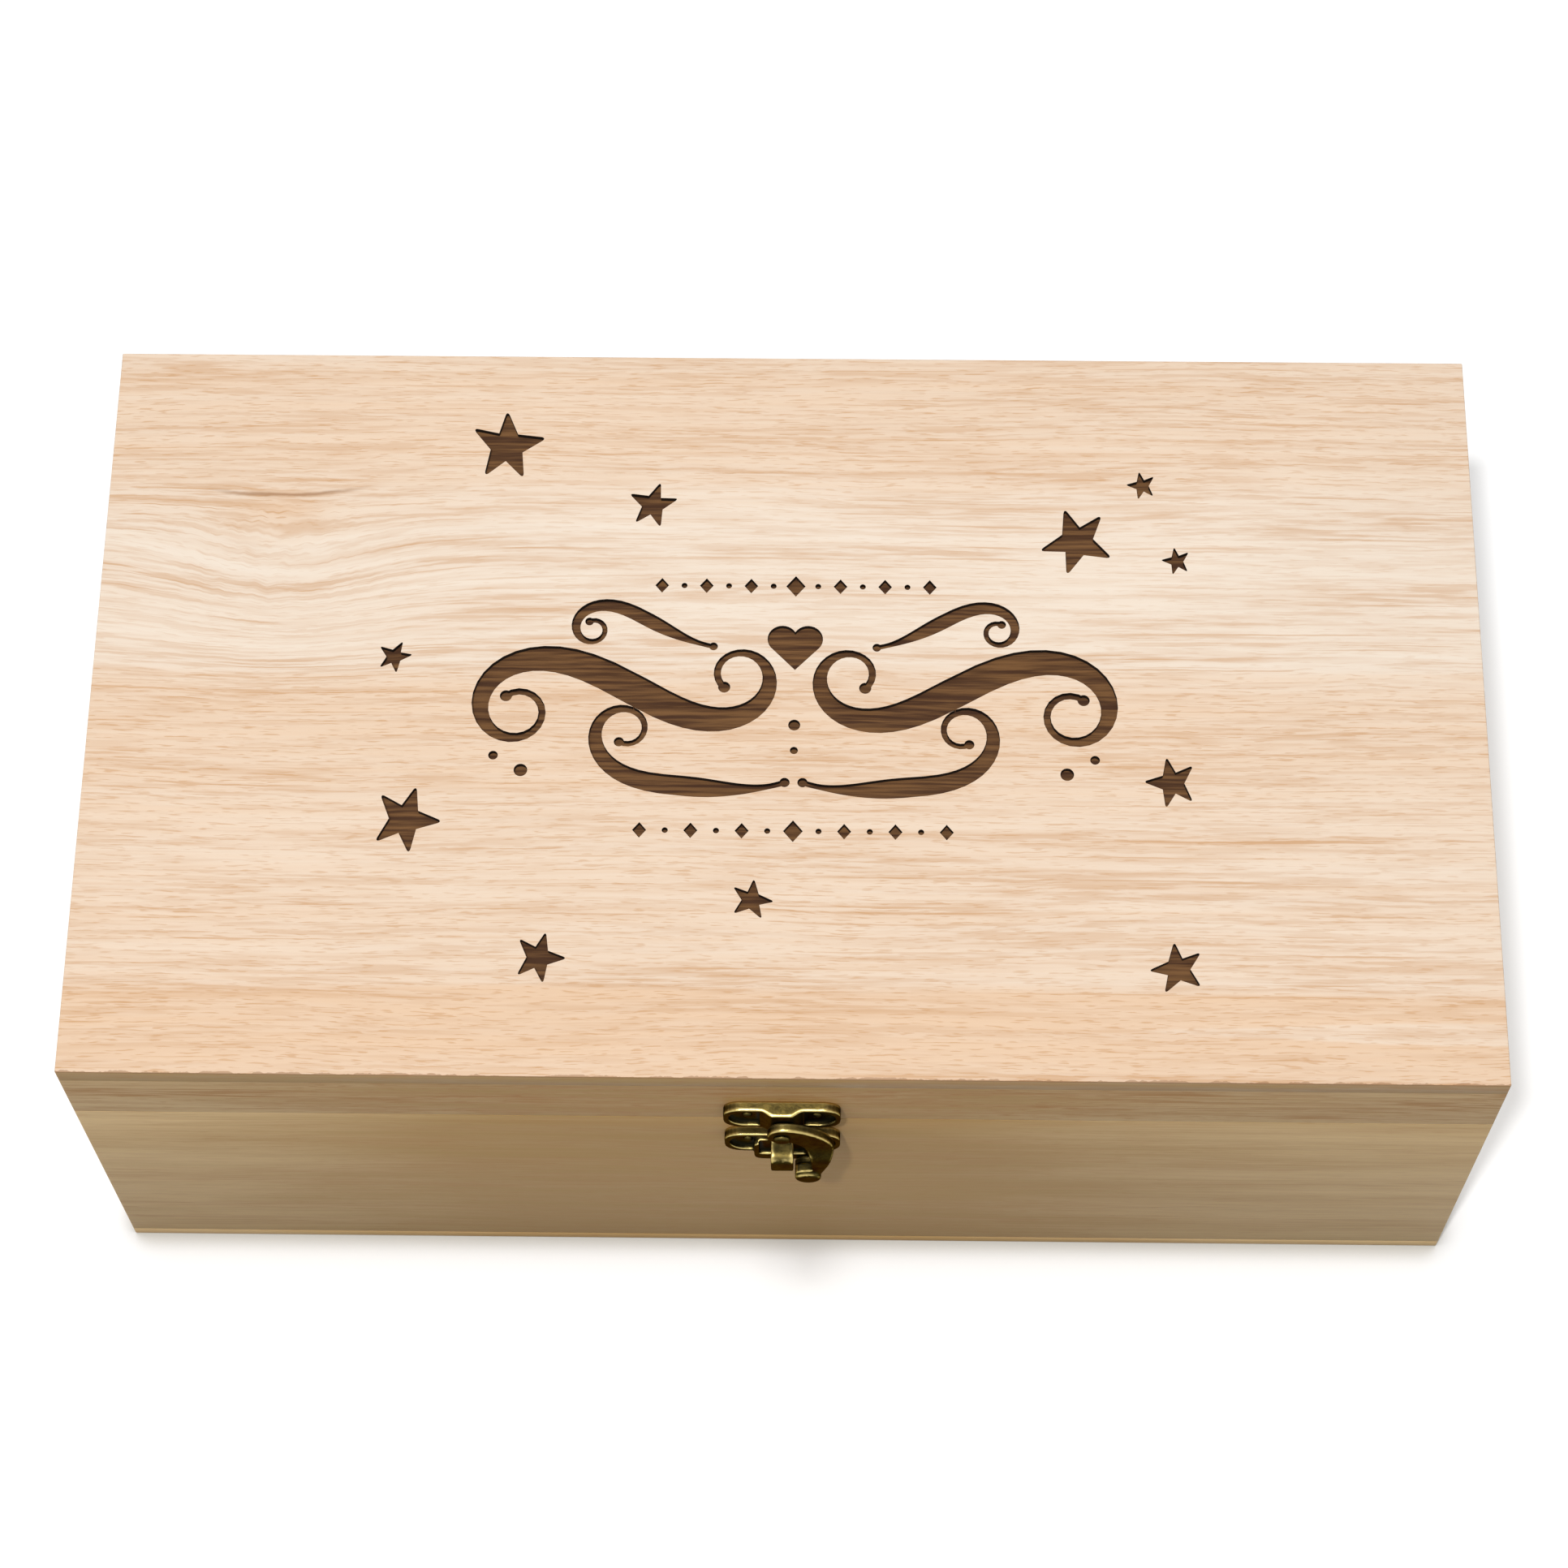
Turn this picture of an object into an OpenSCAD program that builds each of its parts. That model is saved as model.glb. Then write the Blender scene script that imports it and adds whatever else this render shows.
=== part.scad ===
// Keepsake box of pale oak: a butt-jointed base, a shallow hinged lid with an
// engraved top, a small cast hook latch on the front and two butt hinges behind.
// Millimetres, +Z up. The origin is the centre of the underside; the front faces -Y.

/* [Body] */
// Outside width of the box, left to right
box_w = 350; // [280:1:460]
// Outside depth of the box, front to back
box_d = 200; // [170:1:280]
// Outside height of the closed box
box_h = 125; // [90:1:180]
// Height of the lid, from the seam to the top
lid_h = 28; // [24:0.5:45]

/* [Boards] */
// Thickness of the side, front and back boards
wall_t = 9; // [8:0.5:14]
// Thickness of the lid's top panel
top_t = 6; // [4:0.5:9]
// Thickness of the bottom panel
bottom_t = 4; // [3:0.5:8]

/* [Engraving] */
// Depth of the burnt recesses in the lid
engrave_depth = 1.5; // [0.4:0.1:2.5]
// Size of the engraved stars, where 1 is as photographed
star_scale = 1; // [0.6:0.05:1.3]
// Width of the scroll ornament
scroll_w = 155; // [110:1:180]
// Length of the row of lozenges above the ornament
upper_row_w = 68; // [40:1:90]
// Length of the row of lozenges below the ornament
lower_row_w = 76; // [40:1:90]

/* [Latch] */
// Width of the two latch plates
plate_w = 28.8; // [24:0.2:36]
// Height of each plate's pair of lobes
plate_h = 11.8; // [11:0.2:15]
// Thickness of the latch plates
plate_t = 2.6; // [2:0.1:3.2]
// Depth of the hollow eyes in the plates
eye_depth = 1.3; // [0.6:0.1:1.4]
// Width of the rim round each eye
eye_rim = 1.3; // [0.9:0.1:1.6]
// Height of the frame round the catch, above its plate
frame_h = 1.1; // [0.6:0.1:1.1]
// Width of the catch that the hook closes under
catch_w = 5.6; // [4:0.1:6.4]
// How far the catch stands out from the wood
catch_reach = 9; // [7.6:0.1:11]
// Height of the catch
catch_h = 10; // [8:0.1:12]
// Thickness of the hook
hook_t = 2.4; // [1.6:0.1:3]
// Height of the boss that the hook turns on, above the lid's plate
boss_h = 1.5; // [1.2:0.1:1.8]
// How far the hook leans out from its eye to its knob
hook_lean = 1.6; // [0.8:0.1:2.5]
// Radius of the finger knob on the hook
knob_r = 3.3; // [2.6:0.1:4]
// How far the knob stands out from the hook
knob_rise = 0.9; // [0.5:0.1:1.6]
// Radius of the rivet that the hook turns on
rivet_r = 1.5; // [1:0.1:1.8]
// How far the hook turns from rest, towards the catch, to lock the lid
lock_turn = 12; // [9:1:13]

/* [Latch nails] */
// Radius of a nail's shank
nail_r = 0.6; // [0.4:0.05:0.8]
// Radius of a nail's head
nail_head_r = 1.25; // [1:0.05:1.6]
// Length of a nail that is in the wood
nail_grip = 7; // [4:0.5:7.5]

/* [Hinges] */
// Distance of each hinge from the middle of the box
hinge_x = 105; // [60:1:115]
// Length of a hinge along the seam
hinge_len = 24; // [20:0.5:36]
// Height of a hinge leaf from the hinge axis
leaf_h = 10.5; // [9:0.25:14]
// Thickness of a hinge leaf
leaf_t = 1; // [0.8:0.05:1.2]
// Outer radius of the knuckles
knuckle_r = 1.8; // [1.7:0.05:2.4]
// Radius of the hinge pin
pin_r = 0.9; // [0.6:0.05:1]
// Spacing of the two screws in a leaf
screw_spacing = 14; // [11:0.5:20]
// Radius of a screw's shank
screw_r = 1; // [0.7:0.05:1.2]
// Radius of a screw's countersunk head
screw_head_r = 1.9; // [1.6:0.05:2.2]
// Length of a screw that is in the wood
screw_grip = 6; // [4:0.5:7]

/* [Clearances] */
// Radial running clearance of pins, rivets, nails and screws
fit = 0.05; // [0.03:0.01:0.09]
// Gap between the hook and the plate behind it, and under the rivet's head
hook_gap = 0.3; // [0.2:0.05:0.5]
// Gap between the hook at rest and the side of the catch
catch_gap = 0.35; // [0.3:0.05:0.6]
// Gap between the locked hook and the side of the catch
lock_gap = 0.5; // [0.4:0.05:0.8]
// Gap between neighbouring knuckles, and between a knuckle and the wood
knuckle_gap = 0.2; // [0.15:0.05:0.4]

/* [Hidden] */
$fn = 48;

oak = [0.88, 0.76, 0.62];
oak_side = [0.80, 0.68, 0.52];
bronze = [0.45, 0.37, 0.17];
dark_bronze = [0.25, 0.21, 0.12];

over = 1;                              // how far a cutter passes a face
seam_z = box_h - lid_h;                // height of the seam between base and lid
rail_top = box_h - top_t;              // top of the lid's rails
side_len = box_d - 2 * wall_t;         // the side boards stand between front and back

// The finished engraving was drawn for a lid this big; places spread with the lid
drawn_w = 350;
drawn_d = 200;
drawn_scroll_w = 155;

lid_plate_off = 0.5;                   // gap from the seam to the lid's plate
base_plate_off = 5.4;                  // gap from the seam to the base's plate
plate_corner = 4.3;
eye_r = plate_h / 2 - eye_rim;         // round end of an eye
eye_x = plate_w / 2 - eye_rim - eye_r; // middle of that end, where the nail is
eye_waist_x = eye_x - 4.2;             // where an eye's long sides turn in
eye_tip_x = eye_x - 5.1;               // middle of an eye's narrow end
eye_tip_r = 0.8;
lid_eye_z = lid_plate_off + plate_h / 2;       // height of the eyes above the seam
base_eye_z = -base_plate_off - plate_h / 2;
boss_foot_w = 2 * (eye_x - 3);         // width of the boss where its slopes begin
boss_top_w = 0.45 * boss_foot_w;       // width of the flat on it
pivot_rise = 4;                        // the hook's pivot above the seam
catch_top = 6;                         // top of the catch below the seam
catch_low = catch_top + catch_h;
catch_foot_r = 1.4;                    // stud of the catch, through the plate
frame_w = 2 * (eye_x - nail_head_r - 0.2);     // the frame round the catch, clear of the nails
frame_foot = 3.9;                      // height of the frame's bottom bar
frame_low = -catch_low - 0.2 - frame_foot;
frame_up = 11;                         // height of the whole frame
eye_ring_r = 3.6;                      // round end of the hook about its pivot
crown_rise = 1.5;                      // how much higher that end is than it is wide
hook_back = plate_t + boss_h + hook_gap;       // back of the hook, measured out from the wood
hook_front = hook_back + hook_t;
knob_back = plate_t + frame_h + hook_gap;      // back of the knob, just clear of the frame
knob_reach = hook_front + hook_lean + knob_rise;
rivet_head_r = 2.1;
rivet_head_t = 0.8;
nail_head_t = 0.7;

// The hook's inner edge clears the catch's far corner all the way round
catch_corner_r = norm([catch_w / 2, pivot_rise + catch_low]);
arm_r = catch_corner_r + catch_gap;
knob_x = catch_w / 2 + catch_gap + knob_r;
knob_z = -sqrt(pow(arm_r + 0.7 + knob_r, 2) - knob_x * knob_x);
lean_from = -eye_ring_r - 1.2;         // where the hook starts to lean out, below its pivot
lean_to = -0.76 * arm_r;

axis_out = knuckle_r + knuckle_gap;    // hinge axis behind the back face
screw_z = leaf_h - 3.7;                // a screw's distance from the hinge axis
web_h = knuckle_r + knuckle_gap;       // bare part of a leaf beside the other's knuckle

// A point on a circle, and an arc of points
function polar(r, a) = [r * cos(a), r * sin(a)];
function arc(c, r, a0, a1, steps) = [for (i = [0:steps]) c + polar(r, a0 + (a1 - a0) * i / steps)];

// Points along a cubic curve with end points a and d
function curve(a, b, c, d, steps) = [
    for (i = [1:steps])
        let (t = i / steps, u = 1 - t)
        u * u * u * a + 3 * u * u * t * b + 3 * u * t * t * c + t * t * t * d
];

// A rectangle with round corners, its middle at c
function round_box(c, w, h, r) = concat(
    arc(c + [w / 2 - r, h / 2 - r], r, 0, 90, 6),
    arc(c + [r - w / 2, h / 2 - r], r, 90, 180, 6),
    arc(c + [r - w / 2, r - h / 2], r, 180, 270, 6),
    arc(c + [w / 2 - r, r - h / 2], r, 270, 360, 6)
);

// The outline of a hollow eye: a round end, long sides and a point towards the middle
function eye_outline(z) = concat(
    arc([eye_x, z], eye_r, -90, 90, 14),
    [[eye_waist_x, z + eye_r]],
    arc([eye_tip_x, z], eye_tip_r, 130, 230, 5),
    [[eye_waist_x, z - eye_r]]
);

// Frames of reference: outwards from the front and back faces, x right and y up
module on_front() {
    translate([0, -box_d / 2, seam_z]) rotate([90, 0, 0]) children();
}
module on_back() {
    translate([0, box_d / 2, seam_z]) rotate([90, 0, 180]) children();
}
module mirrored() {
    children();
    mirror([1, 0, 0]) children();
}
// Draws a side view, [out, up], as a shape of this width
module from_side(width) {
    translate([width / 2, 0, 0]) rotate([0, -90, 0]) linear_extrude(width) children();
}

// Where the latch nails and hinge screws enter the wood
module nail_places(z) {
    mirrored() translate([eye_x, z, 0]) children();
}
module screw_places(z) {
    for (hinge = [-1, 1], side = [-1, 1])
        translate([hinge * hinge_x + side * screw_spacing / 2, z, 0]) children();
}
module nail_hole() {
    translate([0, 0, -nail_grip - 0.3]) cylinder(r = nail_r + fit, h = nail_grip + 0.3 + over);
}
module screw_hole() {
    translate([0, 0, -screw_grip - 0.3]) cylinder(r = screw_r + fit, h = screw_grip + 0.3 + over);
}

// Boards of the base
module front_or_back(y, z0, z1) {
    translate([-box_w / 2, y, z0]) cube([box_w, wall_t, z1 - z0]);
}
module side_board(x, z0, z1) {
    translate([x, -side_len / 2, z0]) cube([wall_t, side_len, z1 - z0]);
}
module base_front_board() {
    color(oak_side) difference() {
        front_or_back(-box_d / 2, bottom_t, seam_z);
        on_front() nail_places(base_eye_z) nail_hole();
    }
}
module base_back_board() {
    color(oak_side) difference() {
        front_or_back(box_d / 2 - wall_t, bottom_t, seam_z);
        on_back() screw_places(-screw_z) screw_hole();
    }
}
module base_left_board() {
    color(oak_side) side_board(-box_w / 2, bottom_t, seam_z);
}
module base_right_board() {
    color(oak_side) side_board(box_w / 2 - wall_t, bottom_t, seam_z);
}
module bottom_panel() {
    color(oak_side) translate([-box_w / 2, -box_d / 2, 0]) cube([box_w, box_d, bottom_t]);
}

// Boards of the lid
module lid_front_rail() {
    color(oak_side) difference() {
        front_or_back(-box_d / 2, seam_z, rail_top);
        on_front() nail_places(lid_eye_z) nail_hole();
    }
}
module lid_back_rail() {
    color(oak_side) difference() {
        front_or_back(box_d / 2 - wall_t, seam_z, rail_top);
        on_back() screw_places(screw_z) screw_hole();
    }
}
module lid_left_rail() {
    color(oak_side) side_board(-box_w / 2, seam_z, rail_top);
}
module lid_right_rail() {
    color(oak_side) side_board(box_w / 2 - wall_t, seam_z, rail_top);
}
module lid_top_panel() {
    color(oak) difference() {
        translate([-box_w / 2, -box_d / 2, rail_top]) cube([box_w, box_d, top_t]);
        translate([0, 0, box_h - engrave_depth]) engraving();
    }
}

// Engraved stars: place across and along the lid, radius, and direction of the widest gap
stars = [
    [-73.1, 73.1, 9.8, 194], [-35.0, 56.2, 6.4, -28], [90.6, 62.9, 3.9, -3], [73.6, 46.5, 9.4, 152],
    [98.9, 41.1, 3.8, -4], [-99.1, 12.2, 4.4, -37], [-94.1, -32.7, 8.8, 177], [96.0, -21.0, 6.7, -2],
    [-8.0, -53.5, 5.3, 40], [-59.6, -69.2, 6.5, 179], [96.0, -70.7, 6.7, 140]
];
// Directions of a hand-cut star's tips, and how far in its notches lie
tip_turns = [44, 102, 180, 258, 316, 404];
notch_depth = 0.45;
tip_blunt = 0.22;                      // share of a tip's sides that is worn away
tip_reach = 0.91;                      // how far out the worn tip still reaches

function star_outline(r) = [
    for (i = [0:4])
        let (
            tip = polar(r / tip_reach, tip_turns[i]),
            left = polar(notch_depth * r, (tip_turns[i] + tip_turns[i + 1]) / 2),
            before = i == 0 ? tip_turns[4] - 360 : tip_turns[i - 1],
            right = polar(notch_depth * r, (before + tip_turns[i]) / 2),
            worn_right = tip + tip_blunt * (right - tip),
            worn_left = tip + tip_blunt * (left - tip)
        )
        each concat([worn_right],
                    curve(worn_right, (worn_right + tip) / 2, (worn_left + tip) / 2, worn_left, 4),
                    [left])
];

// A scroll: its heading starts at its middle and turns faster towards each curled end
curl_power = 2.2;
scroll_steps = 32;
// The share of its length at step i: the steps get shorter towards the curl
function scroll_share(i) = pow(i / scroll_steps, 0.65);
function scroll_heading(h0, turn, s) = h0 + turn * pow(s, curl_power);
function scroll_arm(mid, h0, len, turn, way) = [
    for (i = 0, p = mid; i <= scroll_steps;
         i = i + 1,
         s0 = scroll_share(i - 1),
         s1 = scroll_share(i),
         h = scroll_heading(h0, turn, (s0 + s1) / 2),
         p = p + way * len * (s1 - s0) * [cos(h), sin(h)])
        p
];
function scroll_width(thin, thick, s) =
    s < 0.85 ? thin + (thick - thin) * pow(cos(90 * s / 0.85), 1.5) : thin;

module scroll(mid, h0, len_in, len_out, turn_in, turn_out, thin, thick) {
    inner = scroll_arm(mid, h0, len_in, turn_in, -1);
    outer = scroll_arm(mid, h0, len_out, turn_out, 1);
    n = scroll_steps;
    function edge(side) = [
        for (i = [-n:n])
            let (
                s = scroll_share(abs(i)),
                p = i < 0 ? inner[-i] : outer[i],
                h = scroll_heading(h0, i < 0 ? turn_in : turn_out, s)
            )
            p + side * scroll_width(thin, thick, s) / 2 * [-sin(h), cos(h)]
    ];
    top_edge = edge(1);
    low_edge = edge(-1);
    recess() polygon(concat(top_edge, [for (i = [2 * n:-1:0]) low_edge[i]]));
    for (end = [inner[n], outer[n]]) translate(end) recess() circle(r = 0.85 * thin);
}

// A heart of two round lobes and a straight-sided point, w wide
module heart(w) {
    r = 0.27 * w;
    right = arc([0.23 * w, 0], r, -38, 148, 16);
    recess() polygon(concat(right, [for (i = [16:-1:0]) [-right[i][0], right[i][1]]], [[0, -0.62 * w]]));
}

// A row of lozenges with dots between, widest in the middle
module lozenge_row(len) {
    half = 6;
    for (i = [-half:half]) translate([i * len / (2 * half), 0]) {
        if (i % 2 == 0)
            recess() scale(i == 0 ? 1.4 : 1) polygon([[1.75, 0], [0, 2.1], [-1.75, 0], [0, -2.1]]);
        else
            recess() circle(r = 0.75);
    }
}

module recess() {
    linear_extrude(engrave_depth + over) children();
}

module engraving() {
    for (s = stars)
        translate([s[0] * box_w / drawn_w, s[1] * box_d / drawn_d])
            rotate(s[3]) recess() polygon(star_outline(s[2] * star_scale));
    translate([2, 2, 0]) {
        scale_scroll = scroll_w / drawn_scroll_w;
        scale([scale_scroll, scale_scroll, 1]) {
            mirrored() {
                scroll([39.5, 1], 30, 66, 86, -350, -430, 1.8, 8.5);
                scroll([27, -25], 5, 25, 58, -25, 385, 1.5, 5.5);
                scroll([37, 21], 30, 18, 40, -20, -420, 1.3, 4);
                translate([68, -21]) recess() circle(r = 1.7);
                translate([75, -17]) recess() circle(r = 1.2);
            }
            translate([0, 16]) heart(14);
            translate([0, -8]) recess() circle(r = 1.5);
            translate([0, -15]) recess() circle(r = 1);
        }
        translate([0, 31]) lozenge_row(upper_row_w);
        translate([0, -37]) lozenge_row(lower_row_w);
    }
}

// Latch plates: two lobes with hollow eyes at height z, nailed each side
module plate_body(z) {
    difference() {
        linear_extrude(plate_t) polygon(round_box([0, z], plate_w, plate_h, plate_corner));
        translate([0, 0, plate_t - eye_depth]) mirrored()
            linear_extrude(eye_depth + over) polygon(eye_outline(z));
        nail_places(z) translate([0, 0, -over]) cylinder(r = nail_r + fit, h = plate_t + 2 * over);
    }
}
// The boss from above, [x, out]: a flat between two hollow slopes
function boss_section() =
    let (
        foot = [boss_foot_w / 2, plate_t],
        brow = [boss_top_w / 2, plate_t + boss_h],
        slope = curve(foot, foot - [1.4, 0], brow + [0.8, -0.2], brow, 6)
    )
    concat(
        [[foot[0], 0], foot],
        slope,
        [for (i = [len(slope) - 1 : -1 : 0]) [-slope[i][0], slope[i][1]]],
        [[-foot[0], foot[1]], [-foot[0], 0]]
    );
module latch_lid_plate() {
    color(bronze) on_front() difference() {
        union() {
            plate_body(lid_eye_z);
            translate([0, lid_plate_off + plate_h, 0]) rotate([90, 0, 0])
                linear_extrude(plate_h) polygon(boss_section());
        }
        translate([0, pivot_rise, -over]) cylinder(r = rivet_r + fit, h = hook_back + over);
    }
}

// The frame round the catch: a floor, a bottom bar and two sides, open at the top
module catch_frame() {
    outline = round_box([0, frame_low + frame_up / 2], frame_w, frame_up, 2);
    linear_extrude(plate_t) polygon(outline);
    linear_extrude(plate_t + frame_h) difference() {
        polygon(outline);
        translate([eye_rim - frame_w / 2, frame_low + frame_foot])
            square([frame_w - 2 * eye_rim, frame_up]);
    }
}
module latch_base_plate() {
    color(bronze) on_front() difference() {
        union() {
            plate_body(base_eye_z);
            catch_frame();
        }
        translate([0, -catch_top - catch_h / 2, -over])
            cylinder(r = catch_foot_r + fit, h = plate_t + 2 * over);
    }
}

// A nail: shank in the wood, low head on the eye's floor; the seat is that floor's height
module nail() {
    seat = plate_t - eye_depth;
    translate([0, 0, -nail_grip]) cylinder(r = nail_r, h = nail_grip + seat);
    translate([0, 0, seat]) cylinder(r1 = nail_head_r, r2 = nail_head_r - 0.4, h = nail_head_t);
}
module latch_lid_nails() {
    color(dark_bronze) on_front() nail_places(lid_eye_z) nail();
}
module latch_base_nails() {
    color(dark_bronze) on_front() nail_places(base_eye_z) nail();
}

// The catch: a shelf with a deep round nose, drawn from the side
module latch_catch() {
    top = -catch_top;
    low = -catch_low;
    brow = [catch_reach - 2, top - 0.5];
    chin = [catch_reach - 1.6, low];
    side = concat(
        [[plate_t, top], brow],
        curve(brow, brow + [1.5, -0.2], [catch_reach, top - 2], [catch_reach, top - 3.4], 7),
        curve([catch_reach, low + 3.2], [catch_reach, low + 1.4], chin + [0.9, 0], chin, 6),
        [[plate_t, low]]
    );
    color(bronze) on_front() {
        from_side(catch_w) polygon(side);
        translate([0, -catch_top - catch_h / 2, 0]) cylinder(r = catch_foot_r, h = plate_t + over);
    }
}

// The hook: a horn that swings from a round eye, past the catch, to a finger knob.
// Its outline is drawn about the pivot, as seen from the front, and grows with its arm.
function hook_point(x, z) = [x, z] * arm_r / 21;
// The direction, at radius r, of the catch's side with the hook turned to its lock
function lock_side(r) = lock_turn - 90 + asin((catch_w / 2 + lock_gap) / r);
function hook_outline() =
    let (
        crown = [0.4, eye_ring_r + crown_rise],
        shoulder = hook_point(13.1, -8.8),
        hip = [knob_x + knob_r - 0.2, knob_z + 1],
        heel = [knob_x - knob_r, knob_z],
        palm_r = arm_r + 0.2,
        palm_start = asin((knob_x - knob_r + 1.1) / palm_r) - 90,
        toe = polar(palm_r, palm_start),
        waist = polar(0.56 * arm_r, lock_side(0.56 * arm_r) + 5),
        throat = polar(eye_ring_r, -66)
    )
    concat(
        [crown],
        curve(crown, crown + [6, 0], shoulder + [0.3, 6.6], shoulder, 12),
        curve(shoulder, shoulder + [-0.3, -4], hip + [1.2, 3.6], hip, 8),
        arc([knob_x, knob_z], knob_r, 0, -180, 14),
        curve(heel, heel + [0, 1.4], toe + [-0.9, -0.1], toe, 5),
        arc([0, 0], palm_r, palm_start, lock_side(palm_r), 4),
        curve(polar(0.93 * arm_r, lock_side(0.93 * arm_r)),
              polar(0.8 * arm_r, lock_side(0.8 * arm_r) + 4), waist + [0.5, -2], waist, 8),
        curve(waist, waist + [-0.5, 3], throat + [2.4, -0.8], throat, 6),
        arc([0, 0], eye_ring_r, -80, -190, 10),
        curve(polar(eye_ring_r, -190), polar(eye_ring_r, -190) + [0.6, 2.6], crown - [2.6, 0], crown, 8)
    );

// The hook from the side, [out, up]: flat about its eye, then leaning out to the knob
function hook_side() =
    let (
        high = eye_ring_r + crown_rise + over,
        low = knob_z - knob_r - over,
        half = (lean_from + lean_to) / 2,
        back_from = [hook_back, lean_from],
        back_to = [hook_back + hook_lean, lean_to],
        front_from = [hook_front, lean_from],
        front_to = [hook_front + hook_lean, lean_to]
    )
    concat(
        [[hook_back, high], back_from],
        curve(back_from, [hook_back, half], [hook_back + hook_lean, half], back_to, 8),
        [[hook_back + hook_lean, low], [hook_front + hook_lean, low], front_to],
        curve(front_to, [hook_front + hook_lean, half], [hook_front, half], front_from, 8),
        [[hook_front, high]]
    );

// The knob's half section: a stub that reaches back to the frame, with a low button in front
function knob_section() = concat(
    [[0, knob_back], [knob_r, knob_back], [knob_r, knob_reach - knob_rise]],
    curve([knob_r, knob_reach - knob_rise], [knob_r, knob_reach - 0.2], [knob_r - 0.8, knob_reach],
          [knob_r - 1.8, knob_reach], 6),
    [[0, knob_reach]]
);
module latch_hook() {
    color(bronze) on_front() translate([0, pivot_rise, 0]) difference() {
        union() {
            intersection() {
                linear_extrude(knob_reach) polygon(hook_outline());
                from_side(4 * arm_r) polygon(hook_side());
            }
            translate([knob_x, knob_z, 0]) rotate_extrude() polygon(knob_section());
        }
        cylinder(r = rivet_r + fit, h = hook_front + over);
    }
}
module latch_rivet() {
    head_base = hook_front + hook_gap / 2;
    head_top = head_base + rivet_head_t;
    section = concat(
        [[0, 0], [rivet_r, 0], [rivet_r, head_base], [rivet_head_r, head_base]],
        curve([rivet_head_r, head_base], [rivet_head_r, head_base + 0.8],
              [1.4, head_top], [0, head_top], 7)
    );
    color(dark_bronze) on_front() translate([0, pivot_rise, 0]) rotate_extrude() polygon(section);
}

// Hinges: drawn with their axis at the origin of on_back, up is away from the seam.
// The base leaf has the two outer knuckles and the lid leaf the middle one.
knuckle_len = (hinge_len - 2 * knuckle_gap) / 3;
module knuckle(x0, up) {
    translate([x0, 0, 0]) difference() {
        union() {
            translate([0, 0, axis_out]) rotate([0, 90, 0]) cylinder(r = knuckle_r, h = knuckle_len);
            translate([0, up > 0 ? 0 : -web_h - over, 0]) cube([knuckle_len, web_h + over, leaf_t]);
        }
        translate([-over, 0, axis_out]) rotate([0, 90, 0])
            cylinder(r = pin_r + fit, h = knuckle_len + 2 * over);
    }
}
module leaf(up, starts) {
    difference() {
        union() {
            translate([-hinge_len / 2, up > 0 ? web_h : -leaf_h, 0])
                cube([hinge_len, leaf_h - web_h, leaf_t]);
            for (x0 = starts) knuckle(x0, up);
        }
        for (side = [-1, 1]) translate([side * screw_spacing / 2, up * screw_z, 0]) {
            translate([0, 0, -over]) cylinder(r = screw_r + fit, h = leaf_t + 2 * over);
            cylinder(r1 = screw_r + fit, r2 = screw_head_r + fit, h = leaf_t);
            translate([0, 0, leaf_t]) cylinder(r = screw_head_r + fit, h = over);
        }
    }
}
// The hinge nearest to the box's left side is at +x as on_back sees it
module hinge_lid_leaf(side) {
    color(bronze) on_back() translate([side * hinge_x, 0, 0]) leaf(1, [-knuckle_len / 2]);
}
module hinge_base_leaf(side) {
    outer = knuckle_len / 2 + knuckle_gap;
    color(bronze) on_back() translate([side * hinge_x, 0, 0]) leaf(-1, [-hinge_len / 2, outer]);
}
module hinge_pin(side) {
    tip = 0.4;
    color(dark_bronze) on_back() translate([side * hinge_x - hinge_len / 2 - tip, 0, axis_out])
        rotate([0, 90, 0]) cylinder(r = pin_r, h = hinge_len + 2 * tip);
}
module hinge_left_lid_leaf() { hinge_lid_leaf(1); }
module hinge_right_lid_leaf() { hinge_lid_leaf(-1); }
module hinge_left_base_leaf() { hinge_base_leaf(1); }
module hinge_right_base_leaf() { hinge_base_leaf(-1); }
module hinge_left_pin() { hinge_pin(1); }
module hinge_right_pin() { hinge_pin(-1); }

// A countersunk screw with a straight slot, its head flush with the leaf
module screw() {
    difference() {
        union() {
            translate([0, 0, -screw_grip]) cylinder(r = screw_r, h = screw_grip + leaf_t / 2);
            cylinder(r1 = screw_r, r2 = screw_head_r, h = leaf_t);
        }
        translate([-screw_head_r - over, -0.25, leaf_t - 0.5]) cube([2 * screw_head_r + 2 * over, 0.5, over]);
    }
}
module hinge_lid_screws() {
    color(dark_bronze) on_back() screw_places(screw_z) screw();
}
module hinge_base_screws() {
    color(dark_bronze) on_back() screw_places(-screw_z) screw();
}

base_front_board();
base_back_board();
base_left_board();
base_right_board();
bottom_panel();
lid_top_panel();
lid_front_rail();
lid_back_rail();
lid_left_rail();
lid_right_rail();
latch_lid_plate();
latch_rivet();
latch_lid_nails();
latch_hook();
latch_base_plate();
latch_catch();
latch_base_nails();
hinge_left_lid_leaf();
hinge_left_base_leaf();
hinge_left_pin();
hinge_right_lid_leaf();
hinge_right_base_leaf();
hinge_right_pin();
hinge_lid_screws();
hinge_base_screws();
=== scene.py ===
"""Finish of a pale oak keepsake box: engraved lid, antique bronze hook latch and butt hinges.

Sizes are in metres in the box's own frame: +Z up, the front faces -Y, and the origin is the
centre of the underside. Patterns in the wood and metal are laid out in millimetres.
"""

import math

import bmesh
import bpy
import numpy as np
from mathutils import Matrix, Vector


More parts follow.
